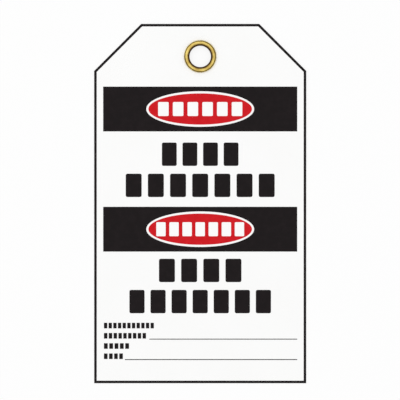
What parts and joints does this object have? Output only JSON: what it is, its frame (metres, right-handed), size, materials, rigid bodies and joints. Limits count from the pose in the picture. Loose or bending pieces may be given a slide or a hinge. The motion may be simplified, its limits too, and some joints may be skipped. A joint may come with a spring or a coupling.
{
  "type": "high voltage warning tag",
  "caption": "Flat plastic safety tag with clipped top corners, banded warning print and a brass eyelet to hang or tie it by.",
  "frame": {"origin": "middle of the tag's width and length, on the surface that it lies on", "axes": "+X to the right as the tag is read, +Y along its length towards the eyelet, +Z out of the printed face"},
  "size_m": [0.0862, 0.146, 0.0021],
  "materials": {
    "white_plastic": "satin white plastic sheet",
    "brass": "bright rolled brass with a darker throat",
    "black_ink": "smooth black ink film",
    "red_ink": "smooth red ink film"
  },
  "bodies": {
    "root": {"tag_sheet": "white_plastic", "eyelet": "brass", "black_print": "black_ink", "red_print": "red_ink"}
  },
  "joints": []
}
